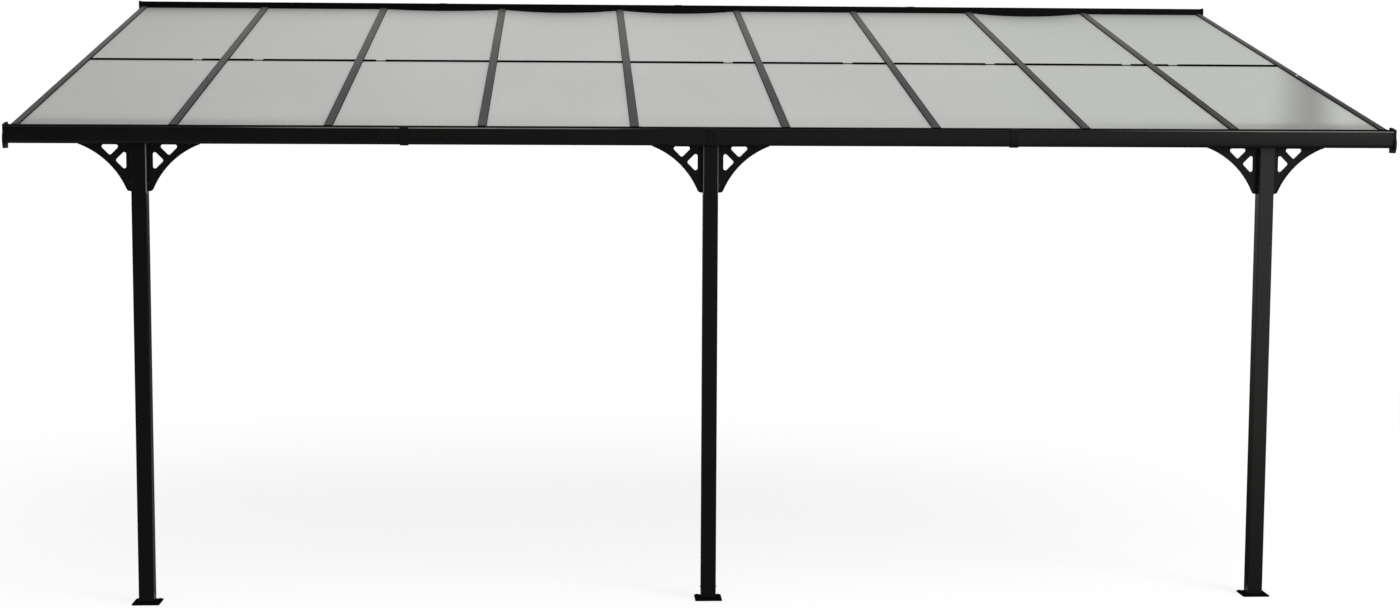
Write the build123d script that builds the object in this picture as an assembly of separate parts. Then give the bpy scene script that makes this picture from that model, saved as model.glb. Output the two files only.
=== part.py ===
from build123d import *
import os
from math import atan, cos, pi, sin, sqrt

# Wall-mounted patio cover: aluminium frame with a lean-to roof of translucent panels.
# The origin is on the ground, in the middle of the middle post's foot plate.
# +X runs along the gutter, -Y points away from the wall, +Z is up. Lengths are in mm.

# Roof layout
bay_count = 9
bay_pitch = 670.0
roof_slope = 0.1990
eaves_height = 2107.0
roof_depth = 3150.0
profile_overhang = 25.0
gutter_end_extra = 8.0
gutter_overhang = 73.0
roof_plane_drop = 2.5

# Joints between the lengths of gutter and wall profile, as bays counted from the left end
joint_bays = (2.5, 4.5, 6.5)
joint_gap = 1.0

# Posts and feet
post_end_distance = 550.0
post_size = 66.0
post_wall = 2.0
post_corner_radius = 4.0
foot_size = 120.0
foot_thickness = 5.0
foot_chamfer = 5.0
spigot_height = 90.0
spigot_wall = 2.5
spigot_clearance = 0.3
anchor_spacing = 94.0
anchor_hole_radius = 4.5

# Corner brackets: along the gutter, down the post, and the curved edge between
bracket_reach = 226.0
bracket_drop = 208.0
bracket_toe = 20.0
bracket_nose = 4.0
bracket_waist = 103.0
bracket_waist_drop = 83.0
bracket_web = 8.0
bracket_flange_width = 40.0
bracket_flange = 5.0
bracket_rim_width = 18.0
bracket_rim = 4.0
bracket_toe_chamfer = 6.0
window_radius = 9.0
window_width = 96.0
window_height = 48.0
window_inset = 46.0
window_edge = 5.0
side_window_edge = 24.0
side_window_inset = 26.0

# Gutter
gutter_height = 74.0
gutter_depth = 110.0
gutter_wall = 2.2
gutter_corner_radius = 14.0
gutter_lean = 5.0
gutter_lip_height = 9.0
gutter_lip_depth = 8.0
gutter_lip_wall = 2.0
gutter_groove = 1.0
gutter_groove_height = 2.0
rafter_seat_depth = 8.0
joint_cover_width = 36.0
joint_cover_thickness = 4.0
joint_cover_hook = 30.0
joint_liner_width = 60.0
joint_liner_thickness = 1.5
joint_liner_height = 40.0
joint_clearance = 0.2
gutter_cap_thickness = 10.0
gutter_cap_edge = 1.0
gutter_cap_rear = 4.0
gutter_cap_rise = 7.0
gutter_cap_tab_height = 17.0
gutter_cap_tab_inset = 50.0
gutter_cap_tab_depth = 15.0
gutter_cap_flat = 26.0
gutter_cap_belly = 9.0
gutter_cap_belly_height = 23.0
gutter_cap_stub = 22.0
gutter_cap_stub_inset = 5.0
gutter_cap_stub_depth = 55.0

# Rafters and their covers, measured across the roof slope
rafter_height = 50.0
rafter_box_width = 22.0
rafter_wall = 1.8
rafter_foot_width = 34.0
rafter_ledge_width = 60.0
rafter_ledge = 2.0
rafter_spine_width = 12.0
rafter_front = 62.0
rafter_rear_clearance = 1.0
cover_width = 36.0
outer_cover_width = 28.0
outer_rafter_edge = 20.0
outer_spine_offset = 11.0
cover_height = 8.0
cover_wall = 1.8
cover_chamfer = 1.5
cover_rear_clearance = 2.0
cover_groove_width = 3.0
cover_groove_depth = 0.8

# Roof panels, how far each bay's upper panel sags at the wall, and the joint strips
panel_sags = (0.0, 0.0, 7.0, 13.0, 13.0, 0.0, 0.0, 15.0, 0.0)
panel_thickness = 6.0
panel_side_clearance = 2.0
panel_front = 72.0
panel_rear_clearance = 2.0
panel_joint = 1579.0
strip_width = 24.0
strip_flange = 2.0
strip_web = 2.4
strip_clearance = 0.5
notch_width = 47.0
notch_depth = 8.0
notch_places = (0.80, 0.25, 0.16, None, 0.77, 0.68, 0.77, 0.82, 0.18)

# Wall profile
wall_profile_rise = 27.0
wall_profile_depth = 21.0
wall_plate = 2.5
wall_skirt = 2.0
wall_skirt_level = 2.0
wall_shelf_reach = 55.0
wall_shelf = 2.5
wall_foot_height = 34.0
wall_joint_width = 40.0
wall_joint_thickness = 1.6
wall_hole_radius = 4.0
wall_hole_height = 16.0
wall_hole_offset = 60.0
wall_cap_thickness = 10.0
wall_cap_front = 4.0
wall_cap_rise = 3.0
wall_cap_radius = 6.0

# Places worked out from the sizes above
slope_cos = cos(atan(roof_slope))
slope_sin = sin(atan(roof_slope))
front_y = -gutter_overhang
wall_y = front_y + roof_depth
gutter_rear = front_y + gutter_depth
gutter_bottom = eaves_height - gutter_height
wall_front = wall_y - wall_profile_depth
rafter_xs = [(i - bay_count / 2) * bay_pitch for i in range(bay_count + 1)]
bay_xs = [(i + 0.5 - bay_count / 2) * bay_pitch for i in range(bay_count)]
joint_xs = [(bay - bay_count / 2) * bay_pitch for bay in joint_bays]
half_width = bay_count * bay_pitch / 2 + profile_overhang
gutter_half_width = half_width + gutter_end_extra
outer_post_x = half_width - post_end_distance
post_xs = {"left": -outer_post_x, "middle": 0.0, "right": outer_post_x}
cap_sides = {"left": -1, "right": 1}
panel_top = -cover_height
ledge_top = panel_top - panel_thickness
ledge_bottom = ledge_top - rafter_ledge
ledge_inner_half = (bay_pitch - rafter_ledge_width) / 2
spigot_size = post_size - 2 * post_wall - 2 * spigot_clearance

os.makedirs("parts", exist_ok=True)


def save(name, *solids):
    """Writes one node: a solid, or several like solids that don't touch."""
    for solid in solids:
        assert len(solid.solids()) == 1, name
    shape = solids[0].solids()[0] if len(solids) == 1 else Compound([s.solids()[0] for s in solids])
    export_step(shape, f"parts/{name}.step")


def roof_z(y, level=0.0):
    """Height at depth y of the plane that lies level mm above the top of the rafter covers."""
    return eaves_height - roof_plane_drop + roof_slope * (y - front_y) + level / slope_cos


def wall_top_z():
    """Height of the wall profile's top, from the rafter covers where they meet its skirt."""
    return roof_z(wall_front) + wall_profile_rise


def bar(x_low, x_high, y_low, y_high):
    """A rectangle from its corners."""
    return Pos((x_low + x_high) / 2, (y_low + y_high) / 2) * Rectangle(x_high - x_low, y_high - y_low)


def on_slope(y_low, y_high, level_low, level_high):
    """A strip of section, in Y and Z, between two depths and two levels below the rafter covers."""
    lower = [(y, roof_z(y, level_low)) for y in (y_low, y_high)]
    upper = [(y, roof_z(y, level_high)) for y in (y_high, y_low)]
    return make_face(Polyline(*lower, *upper, close=True))


def along_x(section, x_low, x_high):
    """Extrudes a section, drawn in Y and Z, along the gutter."""
    return extrude(Plane.YZ.offset(x_low) * section, x_high - x_low)


def across_slope(x, y):
    """The plane across the roof slope at depth y, with its Y along the roof's normal."""
    return Plane((x, y, roof_z(y)), x_dir=(1, 0, 0), z_dir=(0, -slope_cos, -slope_sin))


def down_slope(section, x, y_front, y_rear):
    """Extrudes a section, drawn across the roof slope, from depth y_rear down to depth y_front."""
    return extrude(across_slope(x, y_rear) * section, (y_rear - y_front) / slope_cos)


# Posts and feet


def make_post(x):
    """A hollow square tube with rounded corners, from the foot plate to the gutter's underside."""
    outer = RectangleRounded(post_size, post_size, post_corner_radius)
    inside = post_size - 2 * post_wall
    tube = outer - Rectangle(inside, inside)
    return Pos(x, 0, foot_thickness) * extrude(tube, gutter_bottom - foot_thickness)


def make_foot(x):
    """A bolted foot plate with a square spigot that stands inside the post."""
    plate = chamfer(Rectangle(foot_size, foot_size).vertices(), foot_chamfer)
    plate -= GridLocations(anchor_spacing, anchor_spacing, 2, 2) * Circle(anchor_hole_radius)
    inside = spigot_size - 2 * spigot_wall
    tube = Rectangle(spigot_size, spigot_size) - Rectangle(inside, inside)
    spigot = Pos(0, 0, foot_thickness) * extrude(tube, spigot_height)
    return Pos(x, 0, 0) * (extrude(plate, foot_thickness) + spigot)


# Corner brackets, drawn with X away from the post and Y up from the gutter's underside


def bracket_outline():
    """The web's outline: straight along post and gutter, hollow from the nose to the chamfered toe."""
    nose = (bracket_reach, -bracket_nose)
    toe = (bracket_toe, -bracket_drop)
    edges = Polyline(toe, (0, -bracket_drop), (0, 0), (bracket_reach, 0), nose)
    edges += ThreePointArc(nose, (bracket_waist, -bracket_waist_drop), toe)
    outline = make_face(edges)
    lowest = outline.vertices().group_by(Axis.Y)[0]
    return chamfer(lowest.sort_by(Axis.X)[-1], bracket_toe_chamfer)


def bracket_windows():
    """Two triangular windows with round corners, one under the gutter and one beside the post."""
    half = window_width / 2
    upper = Polygon((0, 0), (window_width, 0), (half, -window_height), align=None)
    upper = Pos(window_inset, -window_edge) * fillet(upper.vertices(), window_radius)
    side = Polygon((0, 0), (window_height, -half), (0, -window_width), align=None)
    side = Pos(side_window_edge, -side_window_inset) * fillet(side.vertices(), window_radius)
    return upper + side


def make_bracket(post_x, side):
    """A cast bracket: a pierced web with flanges on the post and the gutter and a rim on its curve."""
    outline = bracket_outline()
    web = extrude(outline - bracket_windows(), bracket_web / 2, both=True)
    rim = extrude(outline - offset(outline, -bracket_rim), bracket_rim_width / 2, both=True)
    flanges = bar(0, bracket_reach, -bracket_flange, 0) + bar(0, bracket_flange, -bracket_drop, 0)
    flanges = extrude(flanges & outline, bracket_flange_width / 2, both=True)
    corner = (post_x + side * post_size / 2, 0, gutter_bottom)
    return Plane(corner, x_dir=(side, 0, 0), z_dir=(0, -side, 0)) * (web + rim + flanges)


# Gutter, drawn in Y and Z


def gutter_outline():
    """The beam's outer outline: its face leans out as it goes down and rolls into the underside."""
    lip_y = front_y + gutter_lean
    round_z = gutter_bottom + gutter_corner_radius
    rise = eaves_height - round_z
    lean_radius = (rise**2 + gutter_lean**2) / (2 * gutter_lean)
    mid_y = front_y + lean_radius - sqrt(lean_radius**2 - (rise / 2) ** 2)
    inset = gutter_corner_radius * (1 - cos(pi / 4))
    corner_y = front_y + gutter_corner_radius
    lip, corner = (lip_y, eaves_height), (corner_y, gutter_bottom)
    edges = Polyline(lip, (gutter_rear, eaves_height), (gutter_rear, gutter_bottom), corner)
    edges += ThreePointArc(corner, (front_y + inset, gutter_bottom + inset), (front_y, round_z))
    edges += ThreePointArc((front_y, round_z), (mid_y, round_z + rise / 2), lip)
    return make_face(edges)


def gutter_section():
    """An open trough with a hooked front lip and a sloping rafter seat on its taller rear wall."""
    outline = gutter_outline()
    section = outline - offset(outline, -gutter_wall, kind=Kind.INTERSECTION)
    lip_rear = front_y + gutter_lean + gutter_lip_depth
    groove_top = eaves_height - gutter_lip_height
    wall_low, seat_low = ledge_bottom - gutter_lip_height, ledge_bottom - gutter_wall
    section -= bar(lip_rear, gutter_rear, eaves_height - gutter_wall, eaves_height)
    section += bar(lip_rear - gutter_lip_wall, lip_rear, groove_top, eaves_height)
    section += on_slope(gutter_rear - gutter_wall, gutter_rear, wall_low, ledge_bottom)
    section += on_slope(gutter_rear - rafter_seat_depth, gutter_rear, seat_low, ledge_bottom)
    groove = bar(front_y, lip_rear, groove_top - gutter_groove_height, groove_top)
    return section - (groove - offset(outline, -gutter_groove, kind=Kind.INTERSECTION))


def make_joint_cover(x):
    """A cover clipped over a gutter joint from the front lip down to a hook under the beam."""
    outline = gutter_outline()
    ring = offset(outline, joint_clearance + joint_cover_thickness) - offset(outline, joint_clearance)
    top = eaves_height + joint_cover_thickness + joint_clearance
    middle = eaves_height - gutter_height / 2
    lip_rear = front_y + gutter_lean + gutter_lip_depth
    low_y = front_y - joint_cover_thickness - joint_clearance
    low_z = gutter_bottom - joint_cover_thickness - joint_clearance
    ring &= bar(low_y, lip_rear, middle, top) + bar(low_y, front_y + joint_cover_hook, low_z, middle)
    return along_x(ring, x - joint_cover_width / 2, x + joint_cover_width / 2)


def make_joint_liner(x):
    """An angle that bridges a gutter joint along the floor and the rear wall of the trough."""
    outer = offset(gutter_outline(), -gutter_wall - joint_clearance, kind=Kind.INTERSECTION)
    ring = outer - offset(outer, -joint_liner_thickness, kind=Kind.INTERSECTION)
    front, top = front_y + gutter_corner_radius, gutter_bottom + joint_liner_height
    ring &= bar(front, gutter_rear, gutter_bottom, top)
    return along_x(ring, x - joint_liner_width / 2, x + joint_liner_width / 2)


def make_gutter_cap(side):
    """An end plate with a tab on top, a face that bellies out lower down, and a stub below."""
    rear = gutter_rear + gutter_cap_rear
    front = front_y - gutter_cap_edge
    tab_front = front_y + gutter_cap_tab_inset
    tab_rear = tab_front + gutter_cap_tab_depth
    tab_top = eaves_height + gutter_cap_tab_height
    stub_front = front_y + gutter_cap_stub_inset
    stub_rear = stub_front + gutter_cap_stub_depth
    stub_bottom = gutter_bottom - gutter_cap_stub
    face_low = (front, eaves_height - gutter_cap_flat)
    belly = (front_y - gutter_cap_belly, gutter_bottom + gutter_cap_belly_height)
    heel = (stub_front, stub_bottom)
    top = eaves_height + gutter_cap_rise
    upper = [(rear, gutter_bottom), (rear, top), (tab_rear, top), (tab_rear, tab_top)]
    upper += [(tab_front, tab_top), (front, top), face_low]
    edges = Polyline(heel, (stub_rear, stub_bottom), (stub_rear, gutter_bottom), *upper)
    edges += ThreePointArc(face_low, belly, heel)
    near, far = sorted((side * gutter_half_width, side * (gutter_half_width + gutter_cap_thickness)))
    return along_x(make_face(edges), near, far)


# Rafters and covers, drawn across the slope


def ledge_section(outer_side):
    """The two ledges that carry the panels; an outer rafter has a short one on its outer side."""
    half_ledge = rafter_ledge_width / 2
    left = outer_rafter_edge if outer_side < 0 else half_ledge
    right = outer_rafter_edge if outer_side > 0 else half_ledge
    return bar(-left, right, ledge_bottom, ledge_top)


def spine_section(outer_side):
    """The slotted spine under the cover, off-centre and beside a closing upstand on an outer rafter."""
    middle = outer_side * outer_spine_offset
    half_spine = rafter_spine_width / 2
    half_slot = half_spine - rafter_wall
    section = bar(middle - half_spine, middle + half_spine, ledge_top, -cover_wall)
    section -= bar(middle - half_slot, middle + half_slot, ledge_top, -cover_wall)
    if outer_side:
        near, far = sorted((outer_side * (outer_rafter_edge - cover_wall), outer_side * outer_rafter_edge))
        section += bar(near, far, ledge_top, panel_top)
    return section


def rafter_lower_section():
    """The box under the ledges, with its wider bottom flange."""
    half_box = rafter_box_width / 2
    half_foot = rafter_foot_width / 2
    section = bar(-half_box, half_box, -rafter_height, ledge_bottom)
    floor = rafter_wall - rafter_height
    section += bar(-half_foot, half_foot, -rafter_height, floor)
    return section - bar(rafter_wall - half_box, half_box - rafter_wall, floor, ledge_bottom)


def make_rafter(x, outer_side):
    """A rafter from the wall profile's plate to the gutter; its box stops at the gutter's rear wall."""
    front = front_y + rafter_front
    plate_y = wall_y - wall_plate - rafter_rear_clearance
    spine_rear = wall_front - cover_rear_clearance + slope_sin * ledge_top
    box_front, box_rear = gutter_rear - rafter_height, plate_y - slope_sin * rafter_height
    ledge = down_slope(ledge_section(outer_side), x, front, plate_y + slope_sin * ledge_bottom)
    spine = down_slope(spine_section(outer_side), x, front, spine_rear)
    box = down_slope(rafter_lower_section(), x, box_front, box_rear)
    in_gutter = Pos(x, gutter_rear - gutter_depth / 2, eaves_height) * Box(
        rafter_foot_width, gutter_depth, 4 * rafter_height
    )
    return ledge + spine + (box - in_gutter)


def make_cover(x, outer_side):
    """A snap-on cover with chamfered top edges and two grooves, narrower on the outer rafters."""
    width = outer_cover_width if outer_side else cover_width
    middle = outer_side * (outer_rafter_edge - width / 2)
    outline = bar(-width / 2, width / 2, -cover_height, 0)
    outline = chamfer(outline.vertices().group_by(Axis.Y)[-1], cover_chamfer)
    section = outline - bar(cover_wall - width / 2, width / 2 - cover_wall, -cover_height, -cover_wall)
    section -= GridLocations(width / 2, 0, 2, 1) * Rectangle(cover_groove_width, 2 * cover_groove_depth)
    rear = wall_front - cover_rear_clearance - slope_sin * cover_height
    return down_slope(section, x + middle, front_y + rafter_front, rear)


# Roof panels and joint strips, drawn across the slope


def bay_sides(number, inner, outer):
    """The ends left and right of a bay's middle: at outer beside an outer rafter, else at inner."""
    return -outer if number == 1 else -inner, outer if number == bay_count else inner


def panel_outline(x, y, sag, sides):
    """A panel's outline at depth y: flat on the ledges, and sagging between them."""

    def middle(level, start, end):
        if sag:
            return Edge.make_three_point_arc((start, level), (0, level - sag), (end, level))
        return Edge.make_line((start, level), (end, level))

    def side(inner, outer, levels):
        points = (inner, levels[0]), (outer, levels[0]), (outer, levels[1]), (inner, levels[1])
        return [Edge.make_line(a, b) for a, b in zip(points, points[1:])]

    left, right = sides
    edges = [middle(ledge_top, -ledge_inner_half, ledge_inner_half)]
    edges += side(ledge_inner_half, right, (ledge_top, panel_top))
    edges += [middle(panel_top, ledge_inner_half, -ledge_inner_half)]
    edges += side(-ledge_inner_half, left, (panel_top, ledge_top))
    return across_slope(x, y) * Wire(edges)


def make_panels(number, x, sag):
    """The two panels of one bay: the upper one is flat at the joint strip and sags at the wall."""
    inner = bay_pitch / 2 - rafter_spine_width / 2 - panel_side_clearance
    sides = bay_sides(number, inner, inner + outer_spine_offset)
    joint_y = front_y + panel_joint
    half_web = slope_cos * strip_web / 2
    strip_rear = joint_y + slope_cos * strip_width / 2
    rear = wall_y - wall_plate - panel_rear_clearance + slope_sin * (ledge_top - sag)
    lower = ((front_y + panel_front, 0), (joint_y - half_web, 0))
    upper = ((joint_y + half_web, 0), (strip_rear, 0), (rear, sag))
    panels = [[panel_outline(x, y, depth, sides) for y, depth in ends] for ends in (lower, upper)]
    return [Solid.make_loft(outlines, ruled=True) for outlines in panels]


def make_strip(number, x, notch):
    """An H-shaped strip over the joint between two panels, with a small notch in its upper flange."""
    joint_y = front_y + panel_joint
    half_flange = slope_cos * strip_width / 2
    half_web = slope_cos * strip_web / 2
    inner = (bay_pitch - cover_width) / 2 - strip_clearance
    outer = bay_pitch / 2 + outer_rafter_edge - outer_cover_width - strip_clearance
    top_left, top_right = bay_sides(number, inner, outer)
    low_half = ledge_inner_half - strip_clearance
    top = bar(top_left, top_right, panel_top, panel_top + strip_flange)
    low = bar(-low_half, low_half, ledge_top - strip_flange, ledge_top)
    web = bar(-low_half, low_half, ledge_top, panel_top)
    top = down_slope(top, x, joint_y - half_flange, joint_y + half_flange)
    if notch is not None:
        notch_x = x + (notch - 0.5) * bay_pitch
        section = bar(-notch_width / 2, notch_width / 2, panel_top, panel_top + strip_flange)
        notch_front = joint_y + half_flange - slope_cos * notch_depth
        top -= down_slope(section, notch_x, notch_front, joint_y + half_flange)
    web = down_slope(web, x, joint_y - half_web, joint_y + half_web)
    low = down_slope(low, x, joint_y - half_flange, joint_y + half_flange)
    return top + web + low


# Wall profile, drawn in Y and Z


def wall_section():
    """A channel on the wall: a back plate, a top, a front skirt and a sloping shelf for the rafters."""
    plate_y = wall_y - wall_plate
    foot_z = roof_z(wall_y, -rafter_height) - wall_foot_height
    top = wall_top_z()
    section = bar(plate_y, wall_y, foot_z, top)
    section += bar(wall_front, wall_y, top - wall_plate, top)
    section += bar(wall_front, wall_front + wall_skirt, roof_z(wall_front, -wall_skirt_level), top)
    shelf_low = -rafter_height - wall_shelf
    return section + on_slope(plate_y - wall_shelf_reach, plate_y, shelf_low, -rafter_height)


def make_wall_profile(x_low, x_high):
    """One length of the wall profile, with a screw hole beside each rafter."""
    profile = along_x(wall_section(), x_low, x_high)
    hole_z = roof_z(wall_y, -rafter_height) - wall_foot_height + wall_hole_height
    for x in rafter_xs:
        hole_x = x - wall_hole_offset if x > 0 else x + wall_hole_offset
        if x_low < hole_x < x_high:
            plane = Plane((hole_x, wall_y, hole_z), x_dir=(1, 0, 0), z_dir=(0, -1, 0))
            profile -= extrude(plane * Circle(wall_hole_radius), wall_plate)
    return profile


def make_wall_joint(x):
    """An angle that covers the joint between two lengths, over the top and down the skirt."""
    low = roof_z(wall_front, -wall_skirt_level)
    top = wall_top_z()
    outer_y = wall_front - wall_joint_thickness
    section = bar(outer_y, wall_front, low, top + wall_joint_thickness)
    section += bar(outer_y, wall_y, top, top + wall_joint_thickness)
    return along_x(section, x - wall_joint_width / 2, x + wall_joint_width / 2)


def make_wall_cap(side):
    """An end plate on the wall profile, with a rounded front top corner."""
    foot_z = roof_z(wall_y, -rafter_height) - wall_foot_height
    plate = bar(wall_front - wall_cap_front, wall_y, foot_z, wall_top_z() + wall_cap_rise)
    front_top = plate.vertices().group_by(Axis.Y)[-1].sort_by(Axis.X)[0]
    plate = fillet(front_top, wall_cap_radius)
    near, far = sorted((side * half_width, side * (half_width + wall_cap_thickness)))
    return along_x(plate, near, far)


def lengths(half):
    """The start and end of each length of a profile that reaches half to either side."""
    starts = [-half] + [x + joint_gap / 2 for x in joint_xs]
    ends = [x - joint_gap / 2 for x in joint_xs] + [half]
    return list(zip(starts, ends))


# The pieces

for name, post_x in post_xs.items():
    save(f"post_{name}", make_post(post_x))
    save(f"foot_{name}", make_foot(post_x))
    save(f"brackets_{name}", make_bracket(post_x, -1), make_bracket(post_x, 1))

for number, (x_low, x_high) in enumerate(lengths(gutter_half_width), 1):
    save(f"gutter_{number}", along_x(gutter_section(), x_low, x_high))

for number, (x_low, x_high) in enumerate(lengths(half_width), 1):
    save(f"wall_profile_{number}", make_wall_profile(x_low, x_high))

save("gutter_joint_covers", *[make_joint_cover(x) for x in joint_xs])
save("gutter_joint_liners", *[make_joint_liner(x) for x in joint_xs])
save("wall_profile_joints", *[make_wall_joint(x) for x in joint_xs])

for name, side in cap_sides.items():
    save(f"gutter_cap_{name}", make_gutter_cap(side))
    save(f"wall_cap_{name}", make_wall_cap(side))

outer_sides = [-1, *[0] * (bay_count - 1), 1]
for number, (rafter_x, outer_side) in enumerate(zip(rafter_xs, outer_sides), 1):
    save(f"rafter_{number:02d}", make_rafter(rafter_x, outer_side))

save("rafter_covers", *[make_cover(x, outer_side) for x, outer_side in zip(rafter_xs, outer_sides)])

strips = []
for number, (bay_x, sag, notch) in enumerate(zip(bay_xs, panel_sags, notch_places), 1):
    save(f"roof_panels_{number}", *make_panels(number, bay_x, sag))
    strips.append(make_strip(number, bay_x, notch))

save("panel_joint_strips", *strips)
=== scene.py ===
"""Patio cover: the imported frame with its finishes, hollow roof sheets, seals, trims and fasteners.

Lengths are in metres, in the frame of the model: +X along the gutter, -Y away from the wall, +Z up.
"""

import math

import bpy
import numpy as np
from mathutils import Matrix


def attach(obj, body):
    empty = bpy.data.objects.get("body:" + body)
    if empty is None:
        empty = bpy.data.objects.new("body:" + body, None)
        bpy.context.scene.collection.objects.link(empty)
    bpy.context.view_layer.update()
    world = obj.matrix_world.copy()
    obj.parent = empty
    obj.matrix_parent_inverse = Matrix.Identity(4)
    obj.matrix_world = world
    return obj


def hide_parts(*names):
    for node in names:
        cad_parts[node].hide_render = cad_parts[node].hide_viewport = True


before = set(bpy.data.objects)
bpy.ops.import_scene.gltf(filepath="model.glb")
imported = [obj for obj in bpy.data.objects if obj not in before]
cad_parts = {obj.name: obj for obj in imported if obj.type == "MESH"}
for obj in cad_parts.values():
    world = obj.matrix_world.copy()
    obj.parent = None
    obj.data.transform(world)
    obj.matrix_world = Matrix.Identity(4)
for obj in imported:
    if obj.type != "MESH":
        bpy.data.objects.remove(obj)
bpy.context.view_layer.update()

# Sizes of the frame that the pieces below sit on, as the model's source gives them
BAYS = 9
PITCH = 0.670
SLOPE = 0.1990
FRONT_Y = -0.073
WALL_Y = 3.077
EAVES = 2.107
PLANE_DROP = 0.0025
HALF_WIDTH = 3.040
CAP = 0.010

GUTTER_HEIGHT = 0.074
GUTTER_DEPTH = 0.110
GUTTER_LEAN = 0.005
GUTTER_HALF = 3.048
JOINTS = (-1.340, 0.0, 1.340)
JOINT_COVER_HALF = 0.019

POST_X = 2.490
POST_HALF = 0.033
FOOT_PLATE = 0.005
ANCHOR_HALF = 0.047
BRACKET_FLANGE = 0.005

RAFTER_HEIGHT = 0.050
LEDGE_INNER_HALF = 0.305
COVER_HALF = 0.018
OUTER_COVER = 0.028
OUTER_EDGE = 0.020
COVER_HEIGHT = 0.008
COVER_FRONT = 0.062

SHEET = 0.006
SHEET_HALF = 0.327
OUTER_SHEET_HALF = 0.338
SHEET_FRONT = 0.072
SHEET_JOINT = 1.579
SHEET_REAR_GAP = 0.002
SAGS = (0.0, 0.0, 0.007, 0.013, 0.013, 0.0, 0.0, 0.015, 0.0)

STRIP_HALF = 0.012
STRIP_WEB = 0.0024
NOTCHES = (0.80, 0.25, 0.16, None, 0.77, 0.68, 0.77, 0.82, 0.18)
NOTCH_HALF = 0.0235

WALL_PROFILE_DEPTH = 0.021
WALL_PLATE = 0.0025
WALL_FOOT = 0.034
WALL_HOLE_HEIGHT = 0.016
WALL_HOLE_OFFSET = 0.060
SKIRT_LEVEL = 0.002

COS = math.cos(math.atan(SLOPE))
SIN = math.sin(math.atan(SLOPE))
GUTTER_BOTTOM = EAVES - GUTTER_HEIGHT
GUTTER_REAR = FRONT_Y + GUTTER_DEPTH
WALL_FRONT = WALL_Y - WALL_PROFILE_DEPTH
ROOF_TOP = EAVES - PLANE_DROP + SLOPE * (WALL_Y - FRONT_Y)
WALL_HOLE_Z = ROOF_TOP - RAFTER_HEIGHT / COS - WALL_FOOT + WALL_HOLE_HEIGHT
JOINT_Y = FRONT_Y + SHEET_JOINT
RAFTER_X = (np.arange(BAYS + 1) - BAYS / 2) * PITCH
BAY_X = (np.arange(BAYS) + 0.5 - BAYS / 2) * PITCH

ACROSS = (1.0, 0.0, 0.0)
UP_SLOPE = (0.0, COS, SIN)
ROOF_NORMAL = (0.0, -SIN, COS)


def on_roof(x, y, level):
    """Points at x and depth y, level metres out from the plane of the covers' tops."""
    x, y, level = np.broadcast_arrays(x, y, level)
    z = EAVES - PLANE_DROP + SLOPE * (y - FRONT_Y)
    return np.stack([x, y - SIN * level, z + COS * level], -1).astype(float)


# Meshes from whole arrays


def make_piece(name, points, faces, slot, material):
    """Makes a piece that rides on the frame; each array in the list faces has one face size."""
    mesh = bpy.data.meshes.new(name)
    corners = np.concatenate([group.ravel() for group in faces]).astype(np.int32)
    sizes = np.concatenate([np.full(len(group), group.shape[1]) for group in faces])
    starts = np.cumsum(sizes) - sizes
    mesh.vertices.add(len(points))
    mesh.vertices.foreach_set("co", np.asarray(points, np.float32).ravel())
    mesh.loops.add(len(corners))
    mesh.loops.foreach_set("vertex_index", corners)
    mesh.polygons.add(len(sizes))
    mesh.polygons.foreach_set("loop_start", starts.astype(np.int32))
    mesh.polygons.foreach_set("use_smooth", np.zeros(len(sizes), bool))
    mesh.update(calc_edges=True)
    mesh.validate()
    piece = bpy.data.objects.new(name, mesh)
    bpy.context.scene.collection.objects.link(piece)
    mesh.materials.append(material)
    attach(piece, "root")
    return piece


def grid_faces(rows, columns, closed=True):
    """Quads of a grid, numbered row by row; closed joins the last column to the first."""
    last = columns if closed else columns - 1
    row, column = np.meshgrid(np.arange(rows - 1), np.arange(last), indexing="ij")
    beside = (column + 1) % columns
    here, above = row * columns, (row + 1) * columns
    quads = [here + column, here + beside, above + beside, above + column]
    return np.stack(quads, -1).reshape(-1, 4)


def repeat(points, faces, places):
    """The points and faces of one shape at each of the places, which are 4 by 4 matrices."""
    places = np.asarray(places, float)
    moved = points @ places[:, :3, :3].transpose(0, 2, 1) + places[:, None, :3, 3]
    offsets = np.arange(len(places))[:, None, None] * len(points)
    return moved.reshape(-1, 3), [(f[None] + offsets).reshape(-1, f.shape[1]) for f in faces]


def facing(position, out):
    """A place at position whose Z points along out."""
    z = np.asarray(out, float) / np.linalg.norm(out)
    x = np.cross(z, (0, 0, 1)) if abs(z[2]) < 0.9 else np.array((1.0, 0, 0))
    x /= np.linalg.norm(x)
    place = np.eye(4)
    place[:3, 0], place[:3, 1], place[:3, 2], place[:3, 3] = x, np.cross(z, x), z, position
    return place


def carried(profile, path, across, up, scale=1.0):
    """A closed profile carried along a path, with a face over each end.

    The point for profile point (a, b) at path point p is p + scale * (a * across + b * up). The
    profile runs counter-clockwise and the path along across x up, so the faces point outwards.
    """
    path = np.asarray(path, float)
    across, up = (np.broadcast_to(np.asarray(v, float), path.shape)[:, None] for v in (across, up))
    profile = np.asarray(profile, float) * np.broadcast_to(scale, len(path))[:, None, None]
    points = path[:, None] + profile[..., :1] * across + profile[..., 1:] * up
    stations, count = profile.shape[:2]
    first = np.arange(count)
    ends = [first[None, ::-1], first[None] + (stations - 1) * count]
    return points.reshape(-1, 3), [grid_faces(stations, count), *ends]


def joined(shapes):
    """Several shapes, each points and a list of face arrays, as one mesh's points and faces."""
    counts = np.cumsum([0] + [len(points) for points, _ in shapes])
    faces = [group + start for (_, groups), start in zip(shapes, counts) for group in groups]
    return np.concatenate([points for points, _ in shapes]), faces


def mirrored(profile):
    """A profile turned left to right, still counter-clockwise."""
    return [(-a, b) for a, b in reversed(profile)]


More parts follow.
